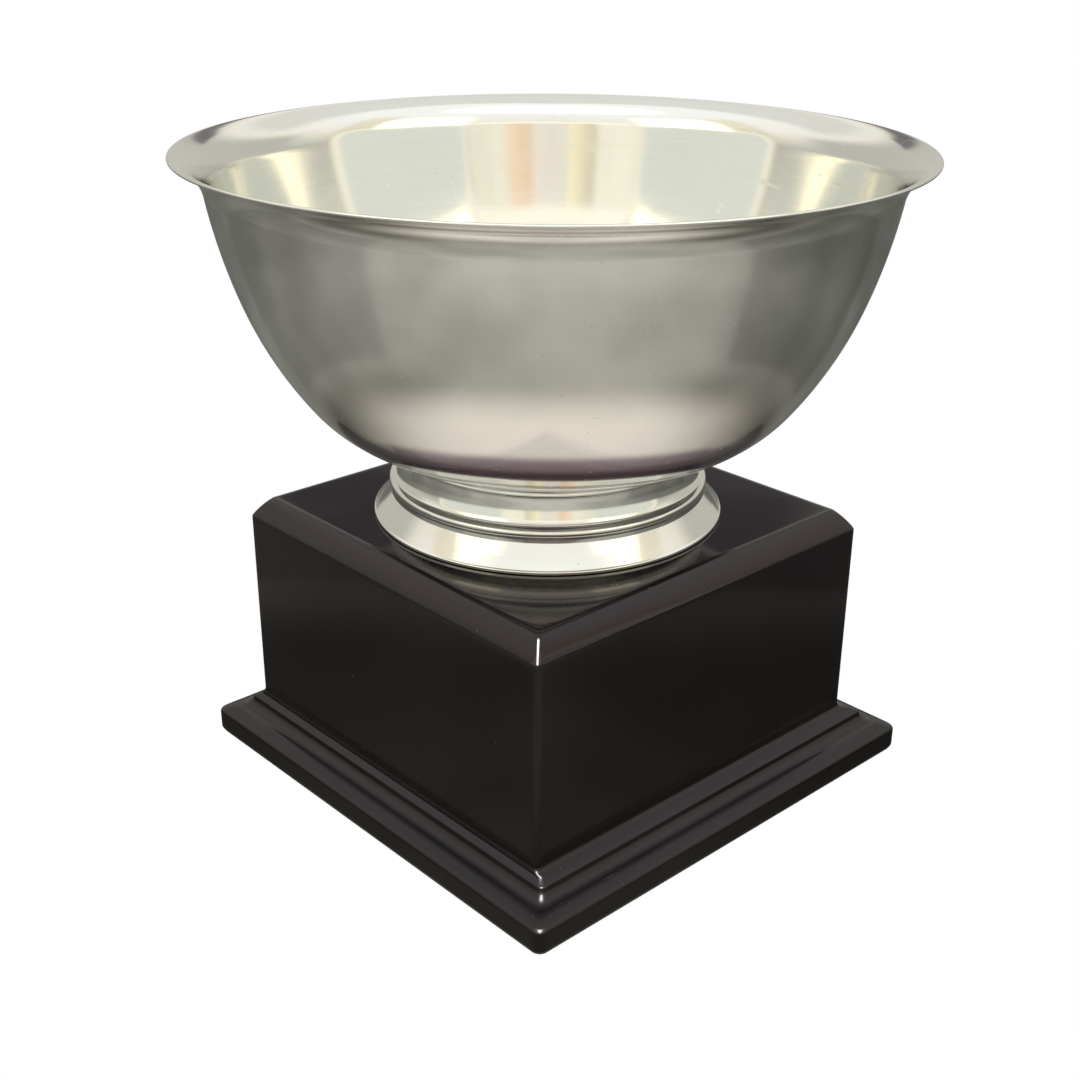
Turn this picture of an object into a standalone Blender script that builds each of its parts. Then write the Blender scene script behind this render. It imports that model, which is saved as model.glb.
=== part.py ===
"""Trophy bowl on a square plinth.

A spun metal bowl and foot stand on a black lacquered wooden plinth: a hollow
block of boards on a moulded base board.  A bolt from a plate inside the foot
passes through the block's top board and is held by a nut inside the block,
which is reached through a hole in the base board.

Units are metres.  +Z is up, the origin is on the floor under the middle of
the plinth, and the plinth's faces look along X and Y.
"""
import math

import bmesh
import bpy
from mathutils import Matrix, Vector

MM = 0.001
GAP = 0.3 * MM                 # clearance between touching pieces

# plinth
PAD_H = 2.0 * MM               # felt pads lift the wood off the floor
BLOCK_HALF = 72.0 * MM         # half side of the upper block
BLOCK_TOP = 94.0 * MM          # height of the plinth's top face
TOP_BOARD_T = 12.0 * MM
BOARD_T = 12.0 * MM            # side boards
TOP_BEVEL_IN = 5.6 * MM        # bevel round the top face, inward
TOP_BEVEL_DOWN = 6.8 * MM      # and downward
MOULD_OUT = 13.6 * MM          # how far the base board's band stands out
MOULD_TOP = 17.2 * MM          # heights above the base board's underside
LEDGE_OUT = 4.4 * MM
LEDGE_EDGE = 14.8 * MM
COVE_OUT = 8.0 * MM
COVE_LOW = 10.0 * MM
BAND_IN = 9.7 * MM
BAND_OUT = 9.3 * MM
EDGE_R = 0.8 * MM
BASE_SHIFT = (0.3 * MM, 2.2 * MM)   # the block sits a little off the base board's middle

# bowl and foot, heights above the plinth's top face
RIM_R = 114.3 * MM             # nine inch bowl
BOWL_T = 1.0 * MM              # sheet thickness
WALL_TOP_R = 105.1 * MM        # where the lip's flare starts
WALL_TOP_H = 106.0 * MM
LIP_ARC_R = 13.1 * MM          # radius of the flare
LIP_ANGLE = (9.2, 74.0)        # degrees from vertical, foot and edge of the flare
WALL_ARCS = ((9.2, 20.0, 170.0 * MM), (20.0, 38.0, 119.5 * MM), (38.0, 84.0, 46.6 * MM))
FOOT_T = 0.9 * MM
FOOT_BASE_R = 57.5 * MM
FOOT_TOP_R = 48.6 * MM
FOOT_SEAT = 0.3 * MM           # the foot's edge above the lacquer

# fastening
BOLT_R = 3.0 * MM
BOLT_LEN = 40.0 * MM
HOLE_R = 3.5 * MM
HEAD_AF = 10.0 * MM
HEAD_H = 4.0 * MM
NUT_H = 5.0 * MM
PLATE_R = 53.6 * MM
PLATE_T = 1.5 * MM
PLATE_H = 1.9 * MM
BACKING_HALF = 30.0 * MM
BACKING_T = 12.0 * MM
FENDER_R = 12.5 * MM
FENDER_T = 1.6 * MM
SPRING_R = 5.5 * MM
SPRING_T = 1.6 * MM

# underside
ACCESS_R = 20.0 * MM
CORNER_LEG = 22.0 * MM
CORNER_TOP = 66.0 * MM
SCREW_AT = 52.0 * MM           # screws' distance from the middle planes
SCREW_R = 1.75 * MM
SCREW_HEAD_R = 3.5 * MM
SCREW_LEN = 32.0 * MM
SINK_R = 4.2 * MM              # recess for the screw's head
PAD_R = 10.0 * MM
PAD_AT = 70.0 * MM

SEG = 48                       # facets round the bowl and foot


# ---------------------------------------------------------------- helpers

def clear_scene():
    for o in list(bpy.data.objects):
        bpy.data.objects.remove(o, do_unlink=True)


def material(name, colour, rough, metal):
    m = bpy.data.materials.get(name) or bpy.data.materials.new(name)
    m.use_nodes = True
    b = m.node_tree.nodes["Principled BSDF"]
    b.inputs["Base Color"].default_value = (*colour, 1.0)
    b.inputs["Roughness"].default_value = rough
    b.inputs["Metallic"].default_value = metal
    m.diffuse_color = (*colour, 1.0)
    return m


STEEL = ((0.62, 0.61, 0.57), 0.22, 1.0)
LACQUER = ((0.012, 0.011, 0.012), 0.12, 0.0)
RAW_WOOD = ((0.45, 0.32, 0.20), 0.7, 0.0)
ZINC = ((0.55, 0.56, 0.58), 0.35, 1.0)
FELT = ((0.03, 0.03, 0.035), 0.95, 0.0)


def add(name, bm, mat, smooth=None, parent=None):
    """Make one named object of a bmesh, with a material of its own."""
    bmesh.ops.recalc_face_normals(bm, faces=bm.faces)
    me = bpy.data.meshes.new(name)
    bm.to_mesh(me)
    bm.free()
    ob = bpy.data.objects.new(name, me)
    bpy.context.scene.collection.objects.link(ob)
    me.materials.append(material(name + "_mat", *mat))
    if smooth is not None:
        me.shade_smooth()
        me.set_sharp_from_angle(angle=math.radians(smooth))
    if parent is not None:
        ob.parent = parent
    return ob


def lathe(name, profile, mat, parent, seg=SEG, smooth=35):
    """Spin a closed profile of (radius, height) points about Z.

    Points at radius zero become single points on the axis.
    """
    bm = bmesh.new()
    rings = []
    for r, z in profile:
        if r < 1e-7:
            rings.append([bm.verts.new((0.0, 0.0, z))])
        else:
            rings.append([bm.verts.new((r * math.cos(2 * math.pi * i / seg),
                                        r * math.sin(2 * math.pi * i / seg), z))
                          for i in range(seg)])
    count = len(rings)
    for k in range(count):
        a, b = rings[k], rings[(k + 1) % count]
        if len(a) == 1 and len(b) == 1:
            continue
        for i in range(seg):
            j = (i + 1) % seg
            quad = [a[i % len(a)], a[j % len(a)], b[j % len(b)], b[i % len(b)]]
            face = []
            for v in quad:
                if v not in face:
                    face.append(v)
            bm.faces.new(face)
    return add(name, bm, mat, smooth, parent)


def arc(centre, radius, a0, a1, steps):
    """Points on an arc; angles in degrees from +X towards +Z."""
    out = []
    for i in range(steps + 1):
        a = math.radians(a0 + (a1 - a0) * i / steps)
        out.append((centre[0] + radius * math.cos(a), centre[1] + radius * math.sin(a)))
    return out


def offset(points, dist):
    """The same open line moved by dist to its left."""
    out = []
    for i, p in enumerate(points):
        a = points[max(i - 1, 0)]
        b = points[min(i + 1, len(points) - 1)]
        d = Vector((b[0] - a[0], b[1] - a[1])).normalized()
        out.append((p[0] - d.y * dist, p[1] + d.x * dist))
    return out


def prism(bm, outline, z0, z1):
    """A closed prism with a plan outline, from z0 to z1."""
    low = [bm.verts.new((x, y, z0)) for x, y in outline]
    high = [bm.verts.new((x, y, z1)) for x, y in outline]
    bm.faces.new(low[::-1])
    bm.faces.new(high)
    for i in range(len(outline)):
        j = (i + 1) % len(outline)
        bm.faces.new((low[i], low[j], high[j], high[i]))


def cutter(name, radius, z0, z1, at=(0.0, 0.0), seg=24, radius_low=None):
    """A round drill used by a Boolean; left out of the finished model."""
    bm = bmesh.new()
    bmesh.ops.create_cone(bm, cap_ends=True, segments=seg,
                          radius1=radius if radius_low is None else radius_low,
                          radius2=radius, depth=z1 - z0,
                          matrix=Matrix.Translation((at[0], at[1], (z0 + z1) / 2)))
    me = bpy.data.meshes.new(name)
    bm.to_mesh(me)
    bm.free()
    ob = bpy.data.objects.new(name, me)
    bpy.context.scene.collection.objects.link(ob)
    ob.hide_render = True
    ob.display_type = 'WIRE'
    return ob


def drill(ob, *cutters):
    for c in cutters:
        m = ob.modifiers.new("drill_" + c.name, 'BOOLEAN')
        m.operation = 'DIFFERENCE'
        m.solver = 'EXACT'
        m.object = c


def turned(ob, quarter_turns):
    ob.rotation_euler = (0.0, 0.0, math.radians(90.0 * quarter_turns))


# ---------------------------------------------------------------- bowl

def bowl_wall():
    """The bowl's outer line from the lip's edge down to the flat bottom."""
    a0, a1 = LIP_ANGLE
    lip = []
    steps = 7
    for i in range(steps + 1):
        a = math.radians(a1 + (a0 - a1) * i / steps)
        s = math.radians(a0)
        lip.append((WALL_TOP_R + LIP_ARC_R * (math.cos(s) - math.cos(a)),
                    WALL_TOP_H + LIP_ARC_R * (math.sin(a) - math.sin(s))))
    scale = (RIM_R - WALL_TOP_R) / (lip[0][0] - WALL_TOP_R)
    lip = [(WALL_TOP_R + (r - WALL_TOP_R) * scale, h) for r, h in lip]
    line = lip[:]
    r, h = WALL_TOP_R, WALL_TOP_H
    for (b0, b1, rad), steps in zip(WALL_ARCS, (4, 5, 7)):
        s = math.radians(b0)
        for i in range(1, steps + 1):
            a = math.radians(b0 + (b1 - b0) * i / steps)
            line.append((r - rad * (math.cos(s) - math.cos(a)),
                         h - rad * (math.sin(a) - math.sin(s))))
        r, h = line[-1]
    return line


def make_bowl(root):
    outer = bowl_wall()
    inner = offset(outer, -BOWL_T)
    base = outer[-1][1]
    flat = base - 0.25 * MM
    profile = ([(r, h + BLOCK_TOP) for r, h in outer]
               + [(outer[-1][0] - 6.0 * MM, flat + BLOCK_TOP), (0.0, flat + BLOCK_TOP),
                  (0.0, flat + BOWL_T + BLOCK_TOP),
                  (outer[-1][0] - 6.0 * MM, flat + BOWL_T + BLOCK_TOP)]
               + [(r, h + BLOCK_TOP) for r, h in reversed(inner)])
    lathe("bowl_shell", profile, STEEL, root)
    return flat


def foot_line(top):
    """The foot's outer line, from under the bowl down to its base edge."""
    t = top - GAP
    line = [(FOOT_TOP_R - 1.6 * MM, t), (FOOT_TOP_R + 0.1 * MM, t - 0.2 * MM)]
    line += arc((FOOT_TOP_R, t - 1.5 * MM), 1.25 * MM, 50, -60, 3)
    cove_top = (FOOT_TOP_R - 0.9 * MM, t - 3.0 * MM)
    cove_low = (50.9 * MM, 12.4 * MM)
    line.append(cove_top)
    n = 5
    for i in range(1, n + 1):
        a = math.radians(90.0 * i / n)
        line.append((cove_low[0] - (cove_low[0] - cove_top[0]) * math.cos(a) ** 0.9 if i < n else cove_low[0],
                     cove_top[1] - (cove_top[1] - cove_low[1]) * math.sin(a)))
    line += arc((50.8 * MM, 11.0 * MM), 1.4 * MM, 55, -55, 4)
    line += [(51.1 * MM, 9.3 * MM), (51.4 * MM, 8.0 * MM)]
    line += [(54.4 * MM, 4.6 * MM), (56.9 * MM, 1.7 * MM), (FOOT_BASE_R, 1.1 * MM), (FOOT_BASE_R, FOOT_SEAT)]
    return line


def make_foot(root, bowl_flat):
    outer = foot_line(bowl_flat)
    inner = offset(outer, -FOOT_T)
    inner[0] = (outer[0][0], outer[0][1] - FOOT_T)
    inner[1] = (inner[1][0], min(inner[1][1], outer[0][1] - FOOT_T - 0.05 * MM))
    inner[-1] = (FOOT_BASE_R - FOOT_T, FOOT_SEAT)
    keep = [inner[0]]
    for p in inner[1:]:
        if p[1] < keep[-1][1] - 0.02 * MM:
            keep.append(p)
    profile = [(r, h + BLOCK_TOP) for r, h in outer] + [(r, h + BLOCK_TOP) for r, h in reversed(keep)]
    lathe("bowl_foot", profile, STEEL, root)


def ring_profile(r_in, r_out, z0, z1, soft=0.0):
    if soft:
        return [(r_in, z0), (r_out - soft, z0), (r_out, z0 + soft), (r_out, z1 - soft),
                (r_out - soft, z1), (r_in, z1)]
    return [(r_in, z0), (r_out, z0), (r_out, z1), (r_in, z1)]


def hexagon(across_flats):
    r = across_flats / math.sqrt(3.0)
    return [(r * math.cos(math.radians(60 * i)), r * math.sin(math.radians(60 * i))) for i in range(6)]


def make_fastening(root):
    plate_low = BLOCK_TOP + PLATE_H
    plate_top = plate_low + PLATE_T
    lathe("foot_plate", ring_profile(HOLE_R, PLATE_R, plate_low, plate_top), STEEL, root, seg=SEG)

    # bolt: hexagon head welded to a round shank, as one turned and forged piece
    head_low = plate_top + GAP
    tip = head_low - BOLT_LEN
    bm = bmesh.new()
    seg = 24
    hex_pts = hexagon(HEAD_AF)

    def ring(radius, z):
        return [bm.verts.new((radius * math.cos(2 * math.pi * i / seg),
                              radius * math.sin(2 * math.pi * i / seg), z)) for i in range(seg)]

    def hex_ring(z):
        out = []
        for i in range(seg):
            side = i * 6 // seg
            t = (i * 6 % seg) / seg
            a, b = hex_pts[side], hex_pts[(side + 1) % 6]
            out.append(bm.verts.new((a[0] + (b[0] - a[0]) * t, a[1] + (b[1] - a[1]) * t, z)))
        return out

    rings = [ring(BOLT_R * 0.75, tip), ring(BOLT_R, tip + 0.8 * MM), ring(BOLT_R, head_low),
             hex_ring(head_low), hex_ring(head_low + HEAD_H - 0.5 * MM),
             ring(HEAD_AF * 0.46, head_low + HEAD_H)]
    for a, b in zip(rings, rings[1:]):
        for i in range(seg):
            j = (i + 1) % seg
            bm.faces.new((a[i], a[j], b[j], b[i]))
    bm.faces.new(rings[0][::-1])
    bm.faces.new(rings[-1])
    add("mounting_bolt", bm, ZINC, 35, root)

    block_top = BLOCK_TOP - TOP_BOARD_T - GAP
    block_low = block_top - BACKING_T
    bm = bmesh.new()
    h = BACKING_HALF
    prism(bm, [(-h, -h), (h, -h), (h, h), (-h, h)], block_low, block_top)
    ob = add("backing_block", bm, RAW_WOOD, parent=root)
    drill(ob, cutter("cut_backing", HOLE_R, block_low - 5 * MM, block_top + 5 * MM))

    z = block_low - GAP
    lathe("fender_washer", ring_profile(HOLE_R - 0.2 * MM, FENDER_R, z - FENDER_T, z), ZINC, root, seg=32)
    z -= FENDER_T + GAP

    # spring washer: a ring cut through and sprung by a little under its thickness
    bm = bmesh.new()
    n = 28
    rise = 0.35 * MM
    slices = []
    for i in range(n + 1):
        a = math.radians(4.0 + 352.0 * i / n)
        lift = rise * i / n
        c, s = math.cos(a), math.sin(a)
        lo, hi = z - SPRING_T - rise + lift, z - rise + lift
        ri, ro = HOLE_R - 0.2 * MM, SPRING_R
        slices.append([bm.verts.new((ri * c, ri * s, lo)), bm.verts.new((ro * c, ro * s, lo)),
                       bm.verts.new((ro * c, ro * s, hi)), bm.verts.new((ri * c, ri * s, hi))])
    for a, b in zip(slices, slices[1:]):
        for k in range(4):
            m = (k + 1) % 4
            bm.faces.new((a[k], a[m], b[m], b[k]))
    bm.faces.new(slices[0][::-1])
    bm.faces.new(slices[-1])
    add("spring_washer", bm, ZINC, 35, root)
    z -= SPRING_T + rise + GAP

    bm = bmesh.new()
    outer_lo, outer_hi = [], []
    rings = []
    low, high = z - NUT_H, z
    ri = BOLT_R + GAP

    rings = [ring_of(bm, ri, low, seg), ring_of(bm, HEAD_AF * 0.46, low, seg),
             hex_of(bm, hex_pts, low + 0.5 * MM, seg), hex_of(bm, hex_pts, high - 0.5 * MM, seg),
             ring_of(bm, HEAD_AF * 0.46, high, seg), ring_of(bm, ri, high, seg)]
    for k in range(len(rings)):
        a, b = rings[k], rings[(k + 1) % len(rings)]
        for i in range(seg):
            j = (i + 1) % seg
            bm.faces.new((a[i], a[j], b[j], b[i]))
    add("hex_nut", bm, ZINC, 35, root)


def ring_of(bm, radius, z, seg):
    return [bm.verts.new((radius * math.cos(2 * math.pi * i / seg),
                          radius * math.sin(2 * math.pi * i / seg), z)) for i in range(seg)]


def hex_of(bm, hex_pts, z, seg):
    out = []
    for i in range(seg):
        side = i * 6 // seg
        t = (i * 6 % seg) / seg
        a, b = hex_pts[side], hex_pts[(side + 1) % 6]
        out.append(bm.verts.new((a[0] + (b[0] - a[0]) * t, a[1] + (b[1] - a[1]) * t, z)))
    return out


# ---------------------------------------------------------------- plinth

def make_top_board(root):
    h = BLOCK_HALF
    low = BLOCK_TOP - TOP_BOARD_T
    bm = bmesh.new()
    levels = [(h, low), (h, BLOCK_TOP - TOP_BEVEL_DOWN),
              (h - TOP_BEVEL_IN, BLOCK_TOP)]
    rings = [[bm.verts.new((sx * a, sy * a, z)) for sx, sy in ((-1, -1), (1, -1), (1, 1), (-1, 1))]
             for a, z in levels]
    for a, b in zip(rings, rings[1:]):
        for i in range(4):
            j = (i + 1) % 4
            bm.faces.new((a[i], a[j], b[j], b[i]))
    bm.faces.new(rings[0][::-1])
    bm.faces.new(rings[-1])
    ob = add("plinth_top_board", bm, LACQUER, parent=root)
    drill(ob, cutter("cut_top", HOLE_R, low - 5 * MM, BLOCK_TOP + 5 * MM))


def mitred(bm, section, half_gap):
    """Sweep a (distance out, height) section along X, its ends cut at 45 degrees."""
    ends = []
    for s in (-1.0, 1.0):
        ends.append([bm.verts.new((s * (d - half_gap), -d, z)) for d, z in section])
    n = len(section)
    bm.faces.new(ends[0])
    bm.faces.new(ends[1][::-1])
    for i in range(n):
        j = (i + 1) % n
        bm.faces.new((ends[0][i], ends[0][j], ends[1][j], ends[1][i]))


SIDES = ("front", "right", "back", "left")


def make_sides(root):
    top = BLOCK_TOP - TOP_BOARD_T - GAP
    low = PAD_H + MOULD_TOP + GAP
    for k, side in enumerate(SIDES):
        bm = bmesh.new()
        d0, d1 = BLOCK_HALF - BOARD_T, BLOCK_HALF
        mitred(bm, [(d0, low), (d1, low), (d1, top), (d0, top)], GAP * 0.7)
        turned(add("side_board_" + side, bm, LACQUER, parent=root), k)


def base_levels():
    """(half side, height, belongs to the moulding) up the base board's edge."""
    z = PAD_H
    out = BLOCK_HALF + MOULD_OUT
    pts = [(out - EDGE_R, z), (out, z + EDGE_R), (out, z + BAND_OUT - EDGE_R),
           (out - EDGE_R, z + BAND_OUT), (BLOCK_HALF + COVE_OUT + 0.1 * MM, z + BAND_IN),
           (BLOCK_HALF + COVE_OUT, z + COVE_LOW)]
    cx, cz = BLOCK_HALF + COVE_OUT, z + LEDGE_EDGE - 0.3 * MM
    ax, az = COVE_OUT - LEDGE_OUT, LEDGE_EDGE - 0.3 * MM - COVE_LOW
    n = 5
    for i in range(1, n + 1):
        a = math.radians(90.0 * i / n)
        pts.append((cx - ax * math.sin(a), cz - az * math.cos(a)))
    pts.append((BLOCK_HALF + LEDGE_OUT - 0.3 * MM, z + LEDGE_EDGE))
    return [(d, h, True) for d, h in pts] + [(BLOCK_HALF, z + MOULD_TOP, False)]


CORNERS = ((-1, -1), (1, -1), (1, 1), (-1, 1))
HEAD_Z = PAD_H + 0.7 * MM      # flat faces of the screws' heads


def make_base_board(root):
    bm = bmesh.new()
    rings = []
    for half, z, moulding in base_levels():
        dx, dy = BASE_SHIFT if moulding else (0.0, 0.0)
        rings.append([bm.verts.new((sx * half + dx, sy * half + dy, z)) for sx, sy in CORNERS])
    for a, b in zip(rings, rings[1:]):
        for i in range(4):
            j = (i + 1) % 4
            bm.faces.new((a[i], a[j], b[j], b[i]))
    bm.faces.new(rings[0][::-1])
    bm.faces.new(rings[-1])
    ob = add("base_board", bm, LACQUER, parent=root)
    top = PAD_H + MOULD_TOP
    cuts = [cutter("cut_access", ACCESS_R, PAD_H - 5 * MM, top + 5 * MM, seg=40)]
    head_h = SCREW_HEAD_R - SCREW_R
    for k, (sx, sy) in enumerate(CORNERS, 1):
        at = (sx * SCREW_AT, sy * SCREW_AT)
        cuts.append(cutter("cut_shank_%d" % k, SCREW_R + GAP, PAD_H - 1 * MM, top + 1 * MM, at, 16))
        cuts.append(cutter("cut_recess_%d" % k, SINK_R, PAD_H - 1 * MM, HEAD_Z + GAP, at, 16))
        # countersink: as wide as the head at its face, narrowing upward
        cuts.append(cutter("cut_sink_%d" % k, SCREW_R + GAP, HEAD_Z, HEAD_Z + head_h + GAP, at, 16,
                           radius_low=SCREW_HEAD_R + GAP))
    drill(ob, *cuts)


def make_underside(root):
    inner = BLOCK_HALF - BOARD_T - GAP
    head_h = SCREW_HEAD_R - SCREW_R
    block_low = PAD_H + MOULD_TOP + GAP
    for k, (sx, sy) in enumerate(CORNERS, 1):
        bm = bmesh.new()
        c, leg = inner, CORNER_LEG
        outline = [(c, c), (c - leg, c), (c - leg, c - 4 * MM), (c - 4 * MM, c - leg), (c, c - leg)]
        outline = [(sx * x, sy * y) for x, y in outline]
        if sx * sy > 0:
            outline = outline[::-1]
        prism(bm, outline, block_low, CORNER_TOP)
        ob = add("corner_block_%d" % k, bm, RAW_WOOD, parent=root)
        at = (sx * SCREW_AT, sy * SCREW_AT)
        depth = HEAD_Z + SCREW_LEN + 1.5 * MM
        drill(ob, cutter("cut_pilot_%d" % k, SCREW_R + GAP, block_low - 5 * MM, depth, at, 16))

        seg = 16
        profile = [(0.0, HEAD_Z), (SCREW_HEAD_R, HEAD_Z), (SCREW_R, HEAD_Z + head_h),
                   (SCREW_R, HEAD_Z + SCREW_LEN - 3 * MM), (0.0, HEAD_Z + SCREW_LEN)]
        screw = lathe("base_screw_%d" % k, profile, ZINC, root, seg=seg)
        screw.location = (at[0], at[1], 0.0)

        pad = lathe("felt_pad_%d" % k, [(0.0, 0.0), (PAD_R, 0.0), (PAD_R, PAD_H - GAP), (0.0, PAD_H - GAP)],
                    FELT, root, seg=24)
        pad.location = (sx * PAD_AT, sy * PAD_AT, 0.0)


def main():
    clear_scene()
    root = bpy.data.objects.new("trophy", None)
    bpy.context.scene.collection.objects.link(root)
    flat = make_bowl(root)
    make_foot(root, flat)
    make_fastening(root)
    make_top_board(root)
    make_sides(root)
    make_base_board(root)
    make_underside(root)


main()
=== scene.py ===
"""Looks for the trophy bowl: spun metal bowl and foot on a black lacquered plinth."""

import math
import random

import bmesh
import bpy
from mathutils import Matrix, Vector, noise


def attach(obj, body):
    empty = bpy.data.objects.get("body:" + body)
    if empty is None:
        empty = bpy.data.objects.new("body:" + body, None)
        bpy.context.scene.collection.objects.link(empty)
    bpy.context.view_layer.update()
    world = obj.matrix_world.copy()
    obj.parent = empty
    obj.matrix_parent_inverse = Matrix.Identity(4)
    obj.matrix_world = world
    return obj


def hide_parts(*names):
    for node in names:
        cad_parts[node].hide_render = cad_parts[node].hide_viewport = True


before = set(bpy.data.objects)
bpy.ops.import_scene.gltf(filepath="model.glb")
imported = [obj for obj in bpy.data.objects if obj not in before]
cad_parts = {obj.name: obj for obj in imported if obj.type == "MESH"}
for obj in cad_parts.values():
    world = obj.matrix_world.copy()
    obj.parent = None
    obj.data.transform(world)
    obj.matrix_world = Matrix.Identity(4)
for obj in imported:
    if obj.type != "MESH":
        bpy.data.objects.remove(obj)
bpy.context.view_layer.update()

MM = 0.001


# ------------------------------------------------------------------ camera

def make_camera():
    cam = bpy.data.cameras.new("camera")
    ob = bpy.data.objects.new("camera", cam)
    bpy.context.scene.collection.objects.link(ob)
    cam.sensor_width = 36.0
    cam.lens = 50.08
    cam.clip_start, cam.clip_end = 0.01, 50.0
    yaw, pitch, roll = math.radians(47.369), math.radians(23.900), math.radians(0.345)
    fwd = Vector((-math.sin(yaw) * math.cos(pitch), math.cos(yaw) * math.cos(pitch), -math.sin(pitch)))
    right = Vector((math.cos(yaw), math.sin(yaw), 0.0))
    up = right.cross(fwd)
    r = right * math.cos(roll) + up * math.sin(roll)
    u = up * math.cos(roll) - right * math.sin(roll)
    m = Matrix((r, u, -fwd)).transposed().to_4x4()
    m.translation = Vector((0.33910, -0.31705, 0.2861))
    ob.matrix_world = m
    bpy.context.scene.camera = ob


make_camera()


# ------------------------------------------------------------------ mesh helpers

def link(name, bm, smooth=30.0):
    bmesh.ops.recalc_face_normals(bm, faces=bm.faces)
    me = bpy.data.meshes.new(name)
    bm.to_mesh(me)
    bm.free()
    ob = bpy.data.objects.new(name, me)
    bpy.context.scene.collection.objects.link(ob)
    if smooth:
        me.shade_smooth()
        me.set_sharp_from_angle(angle=math.radians(smooth))
    return ob


def arc(cx, cz, rad, a0, a1, n):
    return [(cx + rad * math.cos(math.radians(a0 + (a1 - a0) * i / n)),
             cz + rad * math.sin(math.radians(a0 + (a1 - a0) * i / n))) for i in range(n + 1)]


def fillet(points, closed=False, n=5):
    """Round the corners of a line of (x, z, radius) points."""
    out = []
    m = len(points)
    for i, p in enumerate(points):
        rad = p[2] if len(p) > 2 else 0.0
        if rad <= 0 or (not closed and i in (0, m - 1)):
            out.append((p[0], p[1]))
            continue
        a = Vector(points[(i - 1) % m][:2])
        b = Vector(p[:2])
        c = Vector(points[(i + 1) % m][:2])
        u, v = (a - b).normalized(), (c - b).normalized()
        half = math.acos(max(-1.0, min(1.0, u.dot(v)))) / 2
        cut = min(rad / math.tan(half), (a - b).length * 0.49, (c - b).length * 0.49)
        rr = cut * math.tan(half)
        mid = b + (u + v).normalized() * (rr / math.sin(half))
        s, e = b + u * cut - mid, b + v * cut - mid
        ang = s.angle_signed(e)
        for k in range(n + 1):
            t = -ang * k / n
            out.append((mid.x + s.x * math.cos(t) - s.y * math.sin(t),
                        mid.y + s.x * math.sin(t) + s.y * math.cos(t)))
    return out


def offset(points, dist):
    out = []
    for i in range(len(points)):
        a = points[max(i - 1, 0)]
        b = points[min(i + 1, len(points) - 1)]
        d = Vector((b[0] - a[0], b[1] - a[1])).normalized()
        out.append((points[i][0] - d.y * dist, points[i][1] + d.x * dist))
    return out


def lathe(name, profile, seg=256, smooth=40.0):
    """A closed solid turned from a closed profile of (radius, height)."""
    bm = bmesh.new()
    rings = []
    for r, z in profile:
        if r < 1e-7:
            rings.append([bm.verts.new((0, 0, z))])
        else:
            rings.append([bm.verts.new((r * math.cos(2 * math.pi * i / seg),
                                        r * math.sin(2 * math.pi * i / seg), z)) for i in range(seg)])
    for k in range(len(rings)):
        a, b = rings[k], rings[(k + 1) % len(rings)]
        if len(a) == 1 and len(b) == 1:
            continue
        for i in range(seg):
            j = (i + 1) % seg
            face = []
            for v in (a[i % len(a)], a[j % len(a)], b[j % len(b)], b[i % len(b)]):
                if v not in face:
                    face.append(v)
            bm.faces.new(face)
    return link(name, bm, smooth)


def square_ring(half, rc, z, n_corner=8, n_edge=6):
    """Points round a square with rounded corners, counter-clockwise."""
    rc = max(rc, 0.02 * MM)
    pts = []
    c = half - rc
    for k in range(4):
        base = -135 + 90 * k
        sx, sy = ((-1, -1), (1, -1), (1, 1), (-1, 1))[k]
        for i in range(n_corner + 1):
            a = math.radians(base - 45 + 90 * i / n_corner)
            pts.append((sx * c + rc * math.cos(a), sy * c + rc * math.sin(a), z))
        nx, ny = ((-1, -1), (1, -1), (1, 1), (-1, 1))[(k + 1) % 4]
        a = pts[-1][:2]
        e = math.radians(base + 45)
        b = (nx * c + rc * math.cos(e), ny * c + rc * math.sin(e))
        keep = 1.6 * MM / max((Vector(b) - Vector(a)).length, 4 * MM)
        for t in [keep] + [i / n_edge for i in range(1, n_edge)] + [1 - keep]:
            pts.append((a[0] + (b[0] - a[0]) * t, a[1] + (b[1] - a[1]) * t, z))
    return pts


def supported(line, keep=1.4 * MM, least=4.0 * MM):
    """Add a point close to each end of the long straight runs of a profile."""
    out = [line[0]]
    for a, b in zip(line, line[1:]):
        va, vb = Vector(a[:2]), Vector(b[:2])
        d = (vb - va).length
        if d > least:
            for t in (keep / d, 1 - keep / d):
                q = va.lerp(vb, t)
                out.append((q.x, q.y))
        out.append(b)
    return out


def square_lathe(name, profile, rc, closed=True, smooth=25.0):
    """Sweep a (distance out, height) profile round a square with corners of radius rc."""
    bm = bmesh.new()
    rings = [[bm.verts.new(p) for p in square_ring(d, rc(d, z) if callable(rc) else rc, z)] for d, z in profile]
    n = len(rings[0])
    pairs = list(zip(rings, rings[1:])) + ([(rings[-1], rings[0])] if closed else [])
    for a, b in pairs:
        for i in range(n):
            j = (i + 1) % n
            bm.faces.new((a[i], a[j], b[j], b[i]))
    return bm, rings


# ------------------------------------------------------------------ sizes, repeated from the CAD

BLOCK_HALF, BLOCK_TOP, PAD_H = 72.0 * MM, 94.0 * MM, 2.0 * MM
TOP_IN, TOP_DOWN = 5.6 * MM, 6.8 * MM
MOULD_OUT, MOULD_TOP = 13.6 * MM, 17.2 * MM
BASE_SHIFT = (0.3 * MM, 2.2 * MM)
RIM_R, BOWL_T = 114.3 * MM, 1.0 * MM
WALL_TOP_R, WALL_TOP_H, LIP_R, LIP_ANGLE = 105.1 * MM, 106.0 * MM, 13.1 * MM, (9.2, 74.0)
WALL_ARCS = ((9.2, 20.0, 170.0 * MM), (20.0, 38.0, 119.5 * MM), (38.0, 84.0, 46.6 * MM))


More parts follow.
